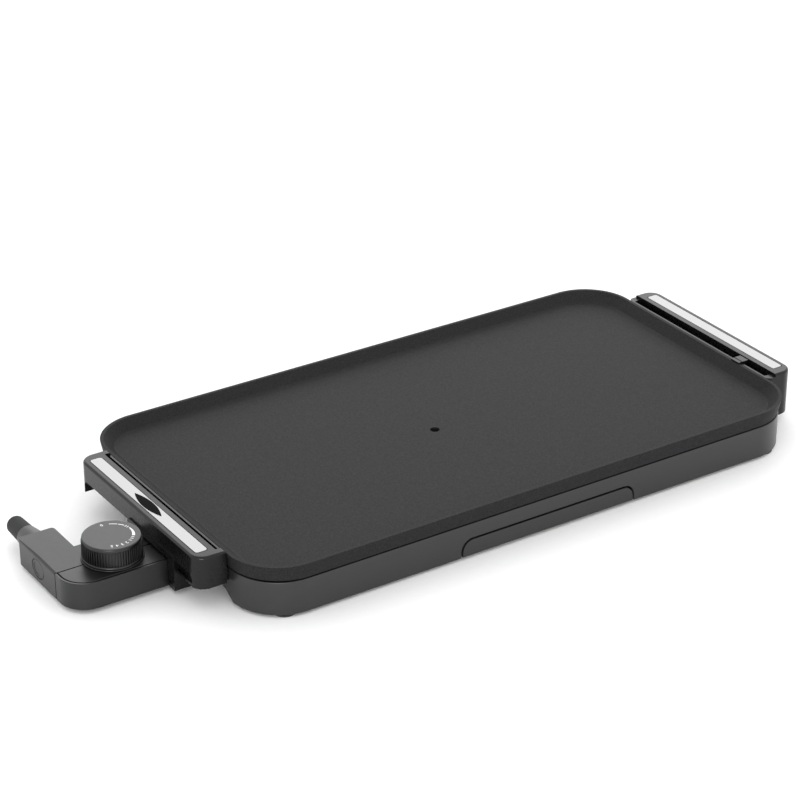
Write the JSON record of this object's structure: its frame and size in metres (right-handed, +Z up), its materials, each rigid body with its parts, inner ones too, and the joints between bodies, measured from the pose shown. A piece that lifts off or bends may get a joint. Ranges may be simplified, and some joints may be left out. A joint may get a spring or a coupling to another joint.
{
  "type": "electric griddle",
  "caption": "Table-top electric griddle with a coated plate on a low base, end handles, slide-out drip tray and plug-in thermostat control.",
  "frame": {"origin": "on the table, under the middle of the whole object's bounding box, control included", "axes": "+X along the griddle from the control end to the far handle, +Y from the drip tray side to the back, +Z up"},
  "size_m": [0.676, 0.29, 0.0483],
  "materials": {
    "coated_plate": "dark speckled non-stick coating on cast aluminium",
    "base_plastic": "satin dark grey heat-resistant plastic",
    "handle_plastic": "satin near-black heat-resistant plastic",
    "control_plastic": "fine-textured near-black plastic",
    "knob_plastic": "ribbed near-black plastic with printed scale",
    "brushed_inlay": "brushed along its length",
    "badge": "glossy black",
    "plated_steel": "zinc-plated sheet steel",
    "bright_steel": "bright stainless tube and pins",
    "screw_steel": "zinc-plated",
    "ceramic": "cream steatite ceramic",
    "brass": "turned and stamped brass",
    "foot_rubber": "matt black rubber"
  },
  "bodies": {
    "griddle": {"cooking_plate": "coated_plate", "base_skirt": "base_plastic", "left_handle": "handle_plastic", "right_handle": "handle_plastic", "plate_catch": "handle_plastic", "left_inlay": "brushed_inlay", "right_inlay": "brushed_inlay", "inlay_badge": "badge", "bottom_cover": "plated_steel", "heat_reflector": "plated_steel", "tray_rail_left": "plated_steel", "tray_rail_right": "plated_steel", "heating_element": "bright_steel", "terminal_pin_front": "bright_steel", "terminal_pin_rear": "bright_steel", "plate_screw_front_left": "screw_steel", "plate_screw_front_right": "screw_steel", "plate_screw_rear_left": "screw_steel", "plate_screw_rear_right": "screw_steel", "handle_screw_left_front": "screw_steel", "handle_screw_left_rear": "screw_steel", "handle_screw_right_front": "screw_steel", "handle_screw_right_rear": "screw_steel", "reflector_screw_1": "screw_steel", "reflector_screw_2": "screw_steel", "pin_insulator_front": "ceramic", "pin_insulator_rear": "ceramic", "foot_front_left": "foot_rubber", "foot_front_right": "foot_rubber", "foot_rear_right": "foot_rubber", "foot_rear_left": "foot_rubber"},
    "drip_tray": {"drip_tray": "base_plastic"},
    "control": {"control_front_housing": "control_plastic", "control_rear_housing": "control_plastic", "control_top_cover": "control_plastic", "control_side_badge": "control_plastic", "knob_bezel": "control_plastic", "thermostat_block": "ceramic", "contact_socket_front": "brass", "contact_socket_rear": "brass", "sensor_rod": "bright_steel", "rod_collar": "bright_steel", "control_screw_1": "screw_steel", "control_screw_2": "screw_steel", "cord_collar": "control_plastic", "cord_boot": "foot_rubber"},
    "knob": {"control_knob": "knob_plastic", "knob_spindle": "brass"}
  },
  "joints": [
    {"name": "control_unplug", "type": "slide", "parent": "griddle", "child": "control", "axis": [-1, 0, 0], "range_m": [0, 0.15]},
    {"name": "knob_turn", "type": "hinge", "parent": "control", "child": "knob", "pos_m": [-0.289, -0.025, 0.037], "axis": [0, 0, -1], "range_deg": [0, 270]},
    {"name": "tray_slide", "type": "slide", "parent": "griddle", "child": "drip_tray", "axis": [0, -1, 0], "range_m": [0, 0.2]}
  ]
}
